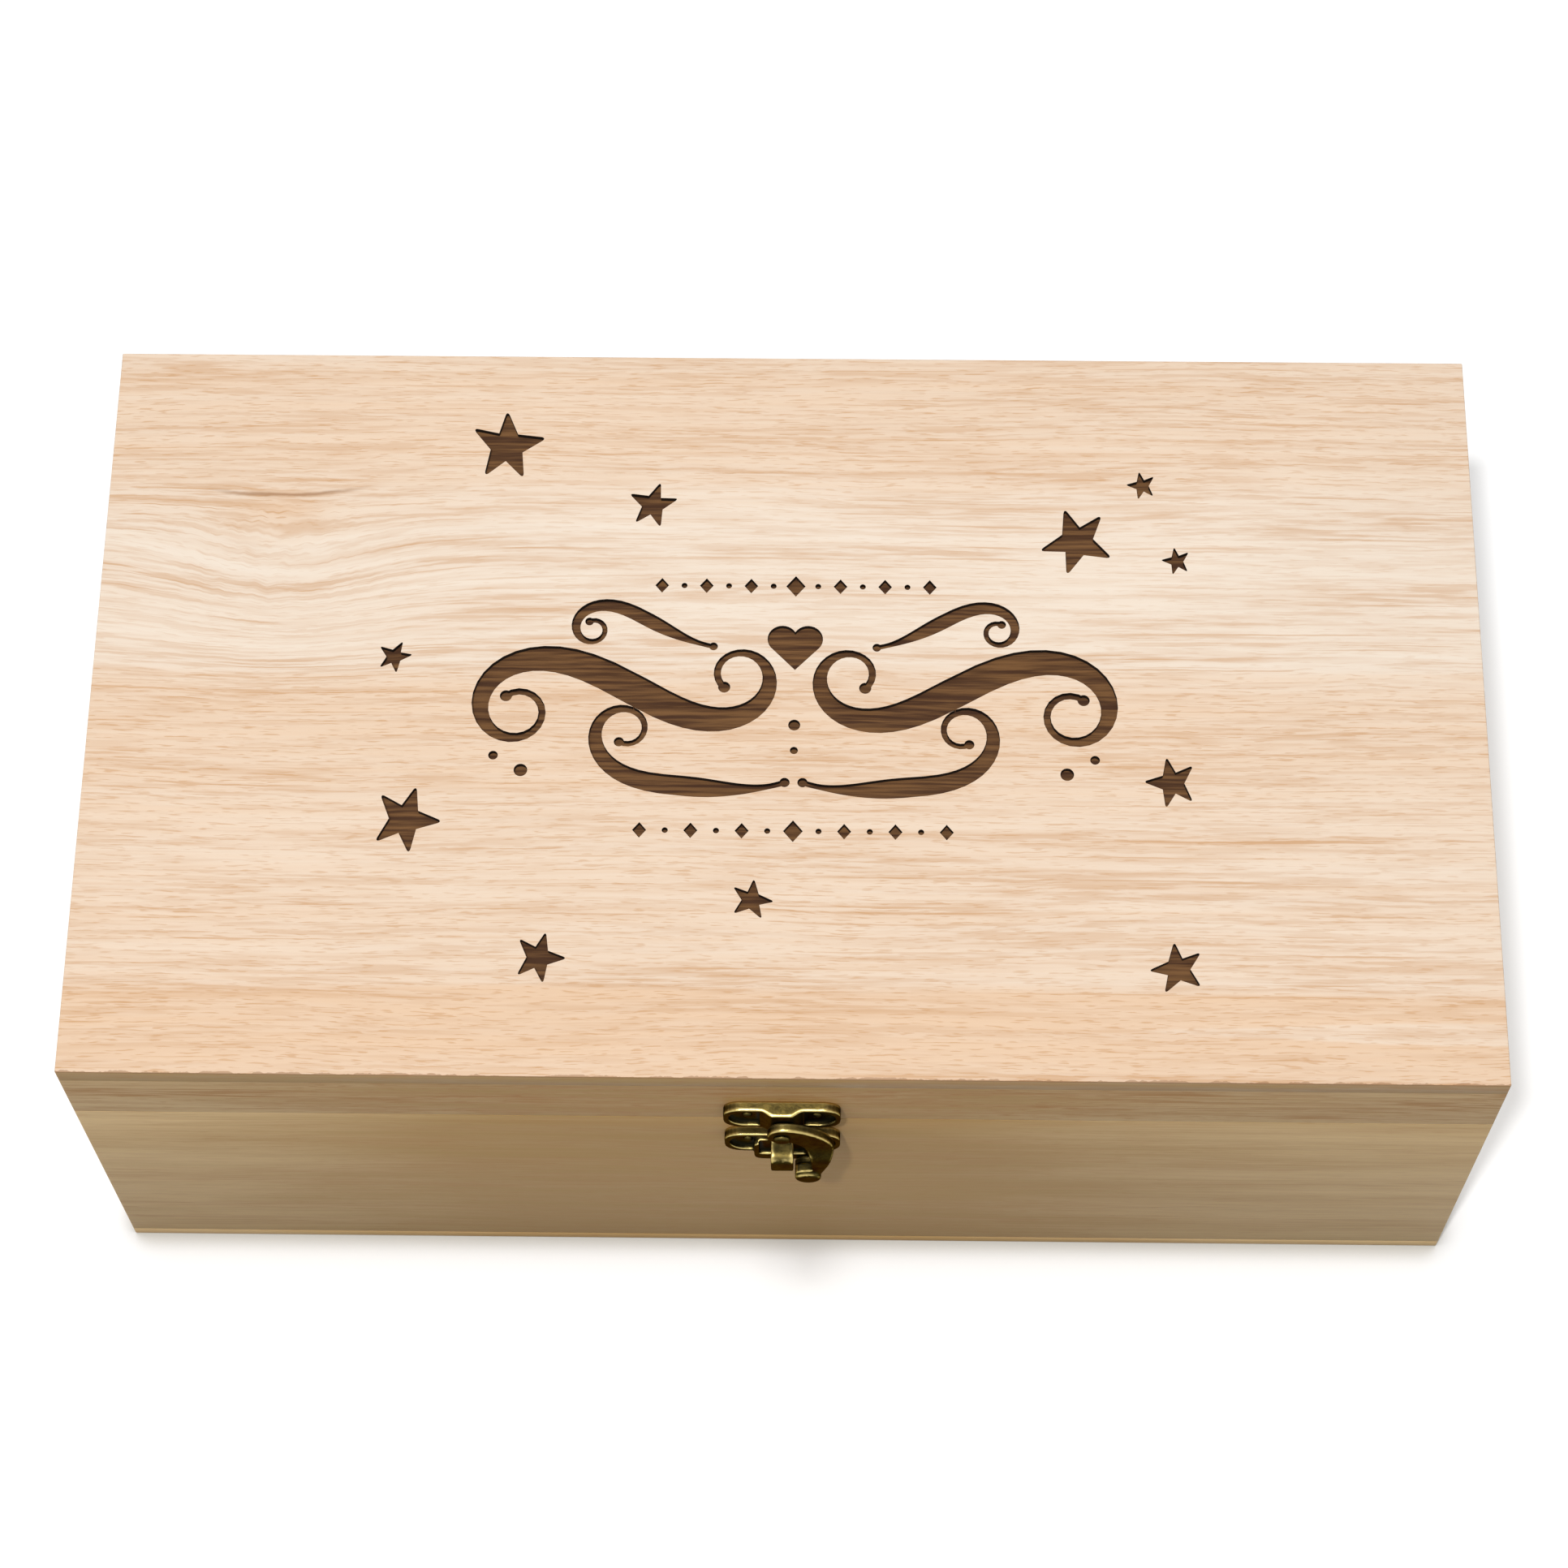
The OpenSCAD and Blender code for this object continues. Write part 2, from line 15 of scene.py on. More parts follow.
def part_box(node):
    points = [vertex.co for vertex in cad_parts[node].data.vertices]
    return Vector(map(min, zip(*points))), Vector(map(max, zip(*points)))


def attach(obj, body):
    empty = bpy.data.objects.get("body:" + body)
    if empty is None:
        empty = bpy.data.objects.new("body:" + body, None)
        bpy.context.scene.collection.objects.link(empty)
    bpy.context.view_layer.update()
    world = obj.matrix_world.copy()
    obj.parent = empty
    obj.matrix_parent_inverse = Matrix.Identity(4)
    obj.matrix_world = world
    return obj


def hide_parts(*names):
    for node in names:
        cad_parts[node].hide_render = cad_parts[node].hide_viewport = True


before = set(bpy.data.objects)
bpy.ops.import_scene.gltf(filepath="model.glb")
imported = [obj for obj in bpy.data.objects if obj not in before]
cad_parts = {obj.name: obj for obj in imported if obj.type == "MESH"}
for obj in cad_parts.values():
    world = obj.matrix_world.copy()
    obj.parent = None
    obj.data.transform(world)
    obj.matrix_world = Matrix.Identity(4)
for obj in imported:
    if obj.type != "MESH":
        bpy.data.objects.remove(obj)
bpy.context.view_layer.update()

MM = 0.001
BASE, LID, HOOK = "base", "lid", "hook"

box_low, box_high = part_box("lid_top_panel")
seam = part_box("lid_front_rail")[0].z

# The outside of the box and the engraving in millimetres, for the patterns
SIDE_X = box_high.x / MM
BACK_Y = box_high.y / MM
FRONT_Y = box_low.y / MM
TOP_Z = box_high.z / MM
ENGRAVING_DEPTH = 1.5

# Colours, linear
CREAM = (0.89, 0.785, 0.665)
PEACH = (0.82, 0.59, 0.405)
# Front faces' oak: a yellower, darker copy of the top's colours, painted as the shade the front stands in
FRONT_SHADE_HONEY = (0.97, 0.71, 0.38)
FRONT_SHADE_TAN = (0.60, 0.375, 0.135)
PALE_OAK = (0.92, 0.76, 0.53)
WARM_OAK = (0.78, 0.55, 0.32)
FIBRE = (0.58, 0.295, 0.11)
PORE = (0.34, 0.17, 0.075)
# Pale gleams along the grain's runs, painted highlights: one for the lid's top and one for the other boards
GLEAM = (0.97, 0.90, 0.80)
BOARD_GLEAM = (0.99, 0.78, 0.47)
END_GRAIN = (0.56, 0.34, 0.17)
# Near black on the engraving's walls: soot and painted shade
SOOT_AND_SHADE = (0.012, 0.006, 0.003)
SCORCH = (0.056, 0.021, 0.007)
SCORCH_PALE = (0.185, 0.087, 0.030)
PATINA = (0.010, 0.009, 0.005)
BRONZE = (0.036, 0.029, 0.010)
HINGE_BRONZE = (0.105, 0.080, 0.028)
# Bronze flats that face up: lighter olive, painted light from above
TOP_LIT_OLIVE = (0.17, 0.125, 0.035)
# Worn brass on the edges, which also serves as a painted highlight
WORN_AND_HIGHLIT_BRASS = (0.56, 0.44, 0.165)
BRONZE_SHEEN = (0.50, 0.40, 0.18, 1.0)


class Field:
    """An output socket of a node tree. Arithmetic on it adds Math nodes to the tree."""

    def __init__(self, bench, socket):
        self.bench = bench
        self.socket = socket

    def __add__(self, other):
        return self.bench.math("ADD", self, other)

    def __sub__(self, other):
        return self.bench.math("SUBTRACT", self, other)

    def __rsub__(self, other):
        return self.bench.math("SUBTRACT", other, self)

    def __mul__(self, other):
        return self.bench.math("MULTIPLY", self, other)

    def __truediv__(self, other):
        return self.bench.math("DIVIDE", self, other)

    def __pow__(self, other):
        return self.bench.math("POWER", self, other)

    def __abs__(self):
        return self.bench.math("ABSOLUTE", self)

    __radd__ = __add__
    __rmul__ = __mul__

    def at_least(self, low):
        return self.bench.math("MAXIMUM", self, low)

    def at_most(self, high):
        return self.bench.math("MINIMUM", self, high)

    def beside(self, name):
        """Another output of the node that this one comes from."""
        return Field(self.bench, self.socket.node.outputs[name])

    def hump(self, width):
        """1 where this is 0, falling away smoothly within this width."""
        return self.bench.math("EXPONENT", (self / width) ** 2 * -1)

    def step(self, low, high, start=0.0, end=1.0):
        """Goes smoothly from start to end as this goes from low to high."""
        settings = {"interpolation_type": "SMOOTHSTEP"}
        values = {"Value": self, "From Min": low, "From Max": high, "To Min": start, "To Max": end}
        return self.bench.node("ShaderNodeMapRange", settings, values)

    def fall(self, low, high):
        """Goes smoothly from 1 to 0 as this goes from low to high."""
        return self.step(low, high, 1.0, 0.0)


class Bench:
    """A node tree that is being built."""

    def __init__(self, tree):
        self.tree = tree

    def node(self, kind, settings=None, values=None, out=0):
        """Adds a node and returns one of its outputs, for a node that has any."""
        made = self.tree.nodes.new(kind)
        for name, setting in (settings or {}).items():
            if name == "stops":
                self.set_stops(made.color_ramp, setting)
            else:
                setattr(made, name, setting)
        for name, value in (values or {}).items():
            sources = value if isinstance(value, list) else [value]
            for source in sources:
                if isinstance(source, Field):
                    self.tree.links.new(source.socket, made.inputs[name])
                else:
                    made.inputs[name].default_value = source
        return Field(self, made.outputs[out]) if made.outputs else None

    @staticmethod
    def set_stops(ramp, stops):
        while len(ramp.elements) < len(stops):
            ramp.elements.new(1.0)
        for element, (place, level) in zip(ramp.elements, stops):
            element.position = place
            element.color = (level, level, level, 1.0)

    def math(self, operation, *values):
        return self.node("ShaderNodeMath", {"operation": operation}, dict(enumerate(values)))

    def mix(self, first, second, share):
        """A colour between two colours."""
        opaque = [c if isinstance(c, Field) else (*c, 1.0) for c in (first, second)]
        values = {0: share, 6: opaque[0], 7: opaque[1]}
        return self.node("ShaderNodeMix", {"data_type": "RGBA"}, values, out=2)

    def vector(self, x, y, z):
        return self.node("ShaderNodeCombineXYZ", None, {"X": x, "Y": y, "Z": z})

    def separate(self, vector):
        """The three parts of a vector."""
        x = self.node("ShaderNodeSeparateXYZ", None, {"Vector": vector}, out="X")
        return x, x.beside("Y"), x.beside("Z")

    def noise(self, place, detail=1.0, roughness=0.5):
        values = {"Vector": place, "Scale": 1.0, "Detail": detail, "Roughness": roughness}
        return self.node("ShaderNodeTexNoise", None, values)

    def millimetres(self, turn=0.0, shift=(0, 0, 0)):
        """The place on the piece, in millimetres, turned about Z and then moved."""
        place = self.node("ShaderNodeTexCoord", out="Object")
        values = {"Vector": place, "Scale": (1000, 1000, 1000), "Rotation": (0, 0, turn), "Location": shift}
        return self.separate(self.node("ShaderNodeMapping", None, values))

    def facing(self):
        """The three parts of the way that the surface faces."""
        return self.separate(self.node("ShaderNodeTexCoord", out="Normal"))

    def finish_surface(self, values):
        """Ends a material in a Principled shader with these values."""
        shader = self.node("ShaderNodeBsdfPrincipled", None, values)
        self.node("ShaderNodeOutputMaterial", None, {"Surface": shader})


def new_material(name):
    material = bpy.data.materials.new(name)
    material.use_nodes = True
    material.node_tree.nodes.clear()
    return material, Bench(material.node_tree)


class Grain:
    """Straight oak grain in a bench's tree: u runs along it, v and w across it, in millimetres."""

    def __init__(self, bench, along_y, shift):
        self.bench = bench
        turn = -math.pi / 2 if along_y else 0.0
        self.u, self.v, self.w = bench.millimetres(turn, shift)

    def streaks(self, length, width, seed, detail=1.0, roughness=0.5):
        """Noise drawn out along the grain."""
        place = self.bench.vector(self.u / length + seed, self.v / width, self.w / width)
        return self.bench.noise(place, detail, roughness)

    def sway(self, length, width, height, seed):
        """Lets the grain rise and fall by about this height."""
        drift = (self.streaks(length, width, seed) - 0.5) * (2 * height)
        self.v = self.v + drift
        self.w = self.w + drift


# The lid's bands: (place across the lid, how warm), from the front edge at 0 to the back at 1
LID_BANDS = [
    (0.0, 0.95), (0.108, 1.10), (0.118, 0.56), (0.30, 0.52), (0.37, 0.58), (0.40, 0.66), (0.50, 0.68),
    (0.542, 0.52), (0.552, 0.18), (0.74, 0.16), (0.80, 0.40), (0.84, 0.60), (0.96, 0.64), (1.0, 0.5),
]
KNOT_X, KNOT_Y = -131.0, 60.0
WEDGE_X, WEDGE_Y = 148.0, -87.0


def plain_figure(grain):
    """Broad bands of warmer and paler wood."""
    return grain.streaks(500, 34, seed=1.3).step(0.35, 0.65), None


def front_figure(grain):
    """The front's boards are browner in the middle than towards their ends: painted shade."""
    # Painted shade: a browner, darker middle
    middle = (grain.u + 15).hump(92) * 1.3
    bands = grain.streaks(200, 14, seed=1.3).step(0.3, 0.7, 0.0, 0.3)
    blotches = grain.streaks(45, 9, seed=3.7, detail=2.0) * 0.6 - 0.3
    return middle + bands + blotches, None


def lid_figure(grain):
    """The lid's grain: bent round a knot shadow, curly in two places, and banded across the lid."""
    bench = grain.bench
    u, v = grain.u, grain.v
    from_knot_x = u - KNOT_X
    from_knot_y = v - KNOT_Y
    under_knot = v.fall(KNOT_Y - 24, KNOT_Y + 8)
    bowl = from_knot_x.hump(30) * (from_knot_y + 22).hump(26) * under_knot
    knot_curl = from_knot_x.hump(30) * (from_knot_y + 24).hump(20)
    corner_curl = u.step(90, 125) * v.step(48, 68) * 0.2
    ripple = bench.noise(bench.vector(u / 3.6, v / 10, 0.5)) - 0.5
    grain.v = v + bowl * 9 + ripple * (knot_curl + corner_curl + 0.10) * 1.9

    wobble = grain.streaks(120, 60, seed=41.3, detail=2.0) - 0.5
    place = (grain.v + wobble * 4 - FRONT_Y) / (BACK_Y - FRONT_Y)
    bands = bench.node("ShaderNodeValToRGB", {"stops": LID_BANDS}, {"Fac": place})
    bands = bench.node("ShaderNodeSeparateColor", None, {"Color": bands})

    ragged = bench.noise(bench.vector(u / 6, v / 2.5, 3.5), detail=2.0) - 0.5
    sag = from_knot_y + (1 - (from_knot_x / 19) ** 2) * 1.8 + ragged * 1.1
    line = abs(sag).fall(0.0, 0.9) * abs(from_knot_x - 2).fall(9, 24)
    blush = from_knot_x.hump(10) * (from_knot_y + 6).hump(5)
    wedge = abs(v - WEDGE_Y) + (WEDGE_X - u).at_least(0.0) * 0.045 + ragged
    pale = wedge.fall(2.4, 3.2)
    bleached = u.step(20, 150, 0.0, 0.10)
    return bands * (1 - pale * 0.4) + blush * 0.45 - bleached, line * 0.7


def sawn_end(grain, wood):
    """The wood where it is sawn across: growth rings and open pores."""
    bench = grain.bench
    radius = ((grain.v + 40) ** 2 + (grain.w + 190) ** 2) ** 0.5
    ring = bench.noise(bench.vector(radius / 1.7, 4.2, grain.u / 400), detail=2.0).step(0.35, 0.75)
    dots = bench.noise(bench.vector(grain.u / 60, grain.v / 0.34, grain.w / 0.34)).step(0.55, 0.72)
    return bench.mix(bench.mix(wood, END_GRAIN, 0.3 + 0.4 * ring), PORE, dots * 0.35)


def front_arris(bench, x, y, z):
    """1 along the lid's front top edge, which is darkened and chipped in short runs."""
    chips = bench.noise(bench.vector(x / 5, 2.5, 7.5), detail=3.0, roughness=0.6)
    depth = chips.step(0.42, 0.62, 0.1, 0.65)
    return ((y - FRONT_Y) / depth).fall(0.7, 1.1) * z.step(TOP_Z - 0.8, TOP_Z - 0.5)


def engraved(x, y, z):
    """1 on the floors and walls of the engraving, which are inside the lid and under its top."""
    rim = 0.6
    floor = TOP_Z - ENGRAVING_DEPTH
    from_sides = abs(x).fall(SIDE_X - rim, SIDE_X - rim + 0.1)
    from_ends = abs(y).fall(BACK_Y - rim, BACK_Y - rim + 0.1)
    return from_sides * from_ends * z.fall(TOP_Z - 0.06, TOP_Z - 0.02) * z.step(floor - 0.4, floor - 0.3)


def charred(grain, normal_z):
    """The engraving's burnt wood: brown streaks on the floors, and near-black walls that are partly soot
    and partly painted shade in the recess.
    """
    bench = grain.bench
    burn_grain = grain.streaks(34, 1.2, seed=31.7, detail=3.0, roughness=0.6).step(0.36, 0.66)
    # Walls go near black: soot, darkened further as painted shade in the recess
    return bench.mix(SOOT_AND_SHADE, bench.mix(SCORCH, SCORCH_PALE, burn_grain), normal_z.step(0.6, 0.95))


def oak(name, along_y=False, shift=(0.0, 0.0, 0.0), coarse=1.0, figure=plain_figure, lid_top=False):
    """Sanded oak. The figure bends the grain and says how warm and how stained the wood is, with painted
    shade in the front boards' middle; faces at the front get a darker, yellower copy of the oak as painted
    shade.
    """
    material, bench = new_material(name)
    grain = Grain(bench, along_y, shift)
    warmth_and_shade, stain = figure(grain)
    grain.sway(110, 45, 2.4, seed=1.7)
    grain.sway(24, 12, 0.22, seed=5.1)
    grain.sway(5, 3, 0.08, seed=8.4)

    rings = grain.streaks(480, 5.0, seed=3.1, detail=2.0)
    fine = grain.streaks(110, 0.9, seed=7.7, detail=2.0)
    tone = (warmth_and_shade + (rings - 0.5) * 0.45 + (fine - 0.5) * 0.40).step(-0.1, 1.1)

    x, y, z = bench.millimetres()
    normal_x, normal_y, normal_z = bench.facing()
    wood = bench.mix(PALE_OAK, WARM_OAK, tone)
    # Painted shade: faces at the front get a yellower, darker copy of the oak; the lid's upward faces keep
    # cream and peach
    wood = bench.mix(wood, bench.mix(FRONT_SHADE_HONEY, FRONT_SHADE_TAN, tone), (y - FRONT_Y).fall(0.1, 0.5))
    if lid_top:
        wood = bench.mix(wood, bench.mix(CREAM, PEACH, tone), normal_z.step(0.3, 0.8))

    bold = grain.streaks(160, 9, seed=13.9).step(0.3, 0.7, 0.5, 1.0) * coarse
    run = grain.streaks(70, 3.2, seed=11.5, detail=2.0).step(0.32, 0.62) * bold
    dash = grain.streaks(18, 0.9, seed=19.1).step(0.40, 0.60, 0.35, 1.0)
    furrow = run * dash * 0.5437
    pores = grain.streaks(5.5, 0.4, seed=23.9).step(0.58, 0.68) * tone.step(0.1, 0.8, 0.4, 1.0)
    dark_runs = grain.streaks(95, 0.7, seed=29.3).step(0.63, 0.72) * bold
    warm_runs = grain.streaks(150, 2.4, seed=37.1, detail=2.0).step(0.54, 0.72) * bold
    # Painted highlight: a pale gleam along the grain's runs
    wood = bench.mix(wood, GLEAM if lid_top else BOARD_GLEAM, run * 0.2455)
    fibres = [bold * 0.0791, furrow * 0.95, pores * (0.48 * coarse), dark_runs * 0.5, warm_runs * 0.26]
    for share in fibres:
        wood = bench.mix(wood, FIBRE, share)
    if stain:
        wood = bench.mix(wood, PORE, stain)
    end = abs(normal_y if along_y else normal_x).step(0.8, 0.95)
    wood = bench.mix(wood, sawn_end(grain, wood), end)

    height = (1 - furrow) * 0.6 + (1 - pores) * 0.3 + fine * 0.3
    rough = 0.58 + furrow * 0.12
    if lid_top:
        burnt = engraved(x, y, z)
        wood = bench.mix(wood, PORE, front_arris(bench, x, y, z) * 0.6)
        wood = bench.mix(wood, charred(grain, normal_z), burnt)
        rough = rough + burnt * 0.2
    bump = bench.node("ShaderNodeBump", None, {"Strength": 0.3, "Distance": 0.0002, "Height": height})
    bench.finish_surface({"Base Color": wood, "Roughness": rough, "Specular IOR Level": 0.25,
                          "Normal": bump})
    return material


def bronze(name, wear=1.0, plain=BRONZE):
    """Antique bronze: near black in the hollows, olive on the flats and lighter on those that face up as
    painted light, yellow on the edges as wear and painted highlight.
    """
    material, bench = new_material(name)
    edge = bench.node("ShaderNodeAttribute", {"attribute_name": "edge"}, out="Fac")
    hollow = bench.node("ShaderNodeAttribute", {"attribute_name": "hollow"}, out="Fac")
    x, y, z = bench.millimetres()
    cloud = bench.noise(bench.vector(x / 2.6, y / 2.6, z / 2.6), detail=4.0, roughness=0.6)
    speck = bench.noise(bench.vector(x / 0.6, y / 0.6, z / 0.6), detail=3.0, roughness=0.6)
    lift = bench.facing()[2]
    # Painted highlights: edge wear is weighted to upward-facing edges, and the outermost parts get a band
    # on their half-upward faces that also stands for wear where they are touched. wear scales both the
    # edges' wear and these painted highlights.
    upward = lift.step(-0.1, 0.6, 0.12, 1.0)
    stands_out = (abs(y) - BACK_Y).step(5, 9)
    nose = stands_out * (lift - 0.5).hump(0.25) * cloud.step(0.35, 0.65) * 0.45
    rubbed_and_highlit = ((edge * upward + nose) * wear + (cloud - 0.5) * 0.9 + (speck - 0.5) * 0.3).step(0.25, 1.05)
    dark = (hollow + (cloud - 0.5) * 0.7 + (speck - 0.5) * 0.3).step(0.1, 0.65)
    # Painted light: flats that face up are lighter olive than those that face forward
    flat = bench.mix(plain, TOP_LIT_OLIVE, lift.step(0.3, 0.9))
    flat = bench.mix(flat, PATINA, (cloud + speck * 0.5).step(0.50, 0.95) * 0.7)
    colour = bench.mix(bench.mix(flat, PATINA, dark * 0.92), WORN_AND_HIGHLIT_BRASS, rubbed_and_highlit)
    rough = 0.44 + dark * 0.2 - rubbed_and_highlit * 0.14
    height = speck + cloud * 0.5
    bump = bench.node("ShaderNodeBump", None, {"Strength": 0.3, "Distance": 0.0001, "Height": height})
    bench.finish_surface({"Base Color": colour, "Metallic": 1 - dark * 0.3, "Roughness": rough,
                          "Specular IOR Level": 0.2, "Specular Tint": BRONZE_SHEEN, "Normal": bump})
    return material


def show(name, mesh, body, slot, *nodes):
    """Puts a finished piece in the scene in place of its CAD nodes."""
    piece = bpy.data.objects.new(name, mesh)
    bpy.context.scene.collection.objects.link(piece)
    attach(piece, body)
    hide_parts(*nodes)


SAME_POINT = 1e-6
ON_SIDE = 1e-5
FLAT_ANGLE = math.radians(0.5)
SHARP_ANGLE = math.radians(35)
JOINT_EASE = 0.05 * MM
OUTER_EASE = 0.3 * MM


def merged_copy(node):
    """A clean copy of a CAD node's mesh: one vertex at each corner and no split flats."""
    work = bmesh.new()
    work.from_mesh(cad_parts[node].data)
    bmesh.ops.remove_doubles(work, verts=work.verts, dist=SAME_POINT)
    bmesh.ops.dissolve_limit(work, angle_limit=FLAT_ANGLE, verts=work.verts, edges=work.edges)
    return work


def sides_touched(point, low, high):
    """How many sides of a box a point lies on."""
    return sum(min(abs(point[i] - low[i]), abs(point[i] - high[i])) < ON_SIDE for i in range(3))


def ease_edges(work, low, high, width, segments):
    """Rounds the mesh's edges that run along the edges of a box."""
    edges = [e for e in work.edges if all(sides_touched(v.co, low, high) >= 2 for v in e.verts)
             and sides_touched((e.verts[0].co + e.verts[1].co) / 2, low, high) >= 2]
    bmesh.ops.bevel(work, geom=edges, offset=width, segments=segments, profile=0.5, affect="EDGES")


def shade(work, angle):
    """Smooth faces with the edges above an angle in degrees kept sharp."""
    for face in work.faces:
        face.smooth = True
    for edge in work.edges:
        edge.smooth = len(edge.link_faces) == 2 and edge.calc_face_angle(0.0) < math.radians(angle)


def to_mesh(work, name, material):
    mesh = bpy.data.meshes.new(name)
    work.to_mesh(mesh)
    work.free()
    mesh.materials.append(material)
    return mesh


def board(node, body, material, low, high):
    """A board with hairline joints, and eased edges where it is at the outside of the box."""
    work = merged_copy(node)
    own_low, own_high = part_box(node)
    ease_edges(work, low, high, OUTER_EASE, segments=3)
    ease_edges(work, own_low, own_high, JOINT_EASE, segments=1)
    shade(work, angle=40)
    show(node + "_sanded", to_mesh(work, node, material), body, "oak", node)


def boards():
    """Every board, each cut from its own piece of wood."""
    lid_low = Vector((box_low.x, box_low.y, seam))
    base_low = Vector((box_low.x, box_low.y, 0.0))
    base_high = Vector((box_high.x, box_high.y, seam))
    base = {
        "base_front_board": oak("oak_base_front", shift=(0, 31, 8), coarse=0.7, figure=front_figure),
        "base_back_board": oak("oak_base_back", shift=(410, 60, 35), coarse=0.5),
        "base_left_board": oak("oak_base_left", True, shift=(130, 20, 71), coarse=0.5),
        "base_right_board": oak("oak_base_right", True, shift=(760, 43, 17), coarse=0.5),
        "bottom_panel": oak("oak_bottom", shift=(0, 31, 8), coarse=0.7, figure=front_figure),
    }
    lid = {
        "lid_top_panel": oak("oak_lid_top", figure=lid_figure, lid_top=True),
        "lid_front_rail": oak("oak_lid_front", shift=(0, 7, 66), coarse=1.8, figure=front_figure),
        "lid_back_rail": oak("oak_lid_back", shift=(1530, 91, 83), coarse=0.8),
        "lid_left_rail": oak("oak_lid_left", True, shift=(1840, 38, 29), coarse=0.8),
        "lid_right_rail": oak("oak_lid_right", True, shift=(2170, 54, 47), coarse=0.8),
    }
    for node, material in base.items():
        board(node, BASE, material, base_low, base_high)
    for node, material in lid.items():
        board(node, LID, material, lid_low, box_high)


def rows(items, attribute, width, kind=float):
    """One attribute of all the vertices or edges of a mesh, a row for each."""
    values = np.empty(len(items) * width, kind)
    items.foreach_get(attribute, values)
    return values.reshape(-1, width)


def neighbour_mean(values, pairs, count):
    total = np.zeros_like(values)
    np.add.at(total, pairs[:, 0], values[pairs[:, 1]])
    np.add.at(total, pairs[:, 1], values[pairs[:, 0]])
    return total / count[:, None]


def bulge(places, normals, pairs, count, rounds, reach):
    """How far each vertex stands out from a smoothed copy of the surface, as a share of the reach."""
    smooth = places.copy()
    for _ in range(rounds):
        smooth = neighbour_mean(smooth, pairs, count)
    return np.einsum("ij,ij->i", places - smooth, normals) / reach


def mark_wear(mesh):
    """Gives each vertex its share of edge wear and of hollow dirt."""
    places = rows(mesh.vertices, "co", 3)
    normals = rows(mesh.vertices, "normal", 3)
    pairs = rows(mesh.edges, "vertices", 2, np.int32)
    count = np.maximum(np.bincount(pairs.ravel(), minlength=len(places)), 1)
    edge = bulge(places, normals, pairs, count, rounds=30, reach=0.11 * MM)
    hollow = -bulge(places, normals, pairs, count, rounds=60, reach=0.25 * MM)
    for name, values in (("edge", edge), ("hollow", hollow)):
        layer = mesh.attributes.new(name, "FLOAT", "POINT")
        layer.data.foreach_set("value", np.clip(values, 0.0, 1.0).astype(np.float32))


def cast(node, body, material, voxel=0.15 * MM, rounds=34):
    """A casting: the CAD piece with its edges melted round and its wear marked."""
    mesh = to_mesh(merged_copy(node), node, material)
    piece = bpy.data.objects.new(node + "_rough", mesh)
    bpy.context.scene.collection.objects.link(piece)
    remesh = piece.modifiers.new("melt", "REMESH")
    remesh.mode = "VOXEL"
    remesh.voxel_size = voxel
    remesh.use_smooth_shade = True
    smooth = piece.modifiers.new("soften", "SMOOTH")
    smooth.factor = 0.5
    smooth.iterations = rounds
    evaluated = piece.evaluated_get(bpy.context.evaluated_depsgraph_get())
    finished = bpy.data.meshes.new_from_object(evaluated)
    bpy.data.objects.remove(piece)
    finished.name = node
    mark_wear(finished)
    show(node + "_cast", finished, body, "aged_bronze", node)


def latch():
    metal = bronze("antique_bronze")
    cast("latch_lid_plate", LID, metal)
    cast("latch_base_plate", BASE, metal)
    cast("latch_catch", BASE, metal, voxel=0.14 * MM, rounds=60)
    cast("latch_hook", HOOK, metal, voxel=0.14 * MM, rounds=44)


def turned(node, body, material, slot, width):
    """A piece of wrought metal with its edges rounded a little."""
    work = merged_copy(node)
    sharp = [e for e in work.edges if len(e.link_faces) == 2 and e.calc_face_angle(0.0) > SHARP_ANGLE]
    bmesh.ops.bevel(work, geom=sharp, offset=width, segments=2, profile=0.5, affect="EDGES")
    shade(work, angle=50)
    mesh = to_mesh(work, node, material)
    mark_wear(mesh)
    show(node + "_turned", mesh, body, slot, node)


def hinges():
    metal = bronze("hinge_bronze", wear=0.9, plain=HINGE_BRONZE)
    dark = bronze("pin_bronze", wear=0.3)
    for side in ("left", "right"):
        turned(f"hinge_{side}_lid_leaf", LID, metal, "aged_bronze", 0.12 * MM)
        turned(f"hinge_{side}_base_leaf", BASE, metal, "aged_bronze", 0.12 * MM)
        turned(f"hinge_{side}_pin", BASE, dark, "dark_bronze", 0.2 * MM)
    turned("latch_rivet", LID, dark, "dark_bronze", 0.1 * MM)


GAP_BETWEEN_PIECES = 2 * MM


def piece_places(node):
    """The middle across and the middle height of each separate piece of a CAD node, left to right."""
    points = rows(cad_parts[node].data.vertices, "co", 3)
    points = points[np.argsort(points[:, 0])]
    breaks = np.flatnonzero(np.diff(points[:, 0]) > GAP_BETWEEN_PIECES) + 1
    return [((p.min(0) + p.max(0)) / 2)[[0, 2]] for p in np.split(points, breaks)]


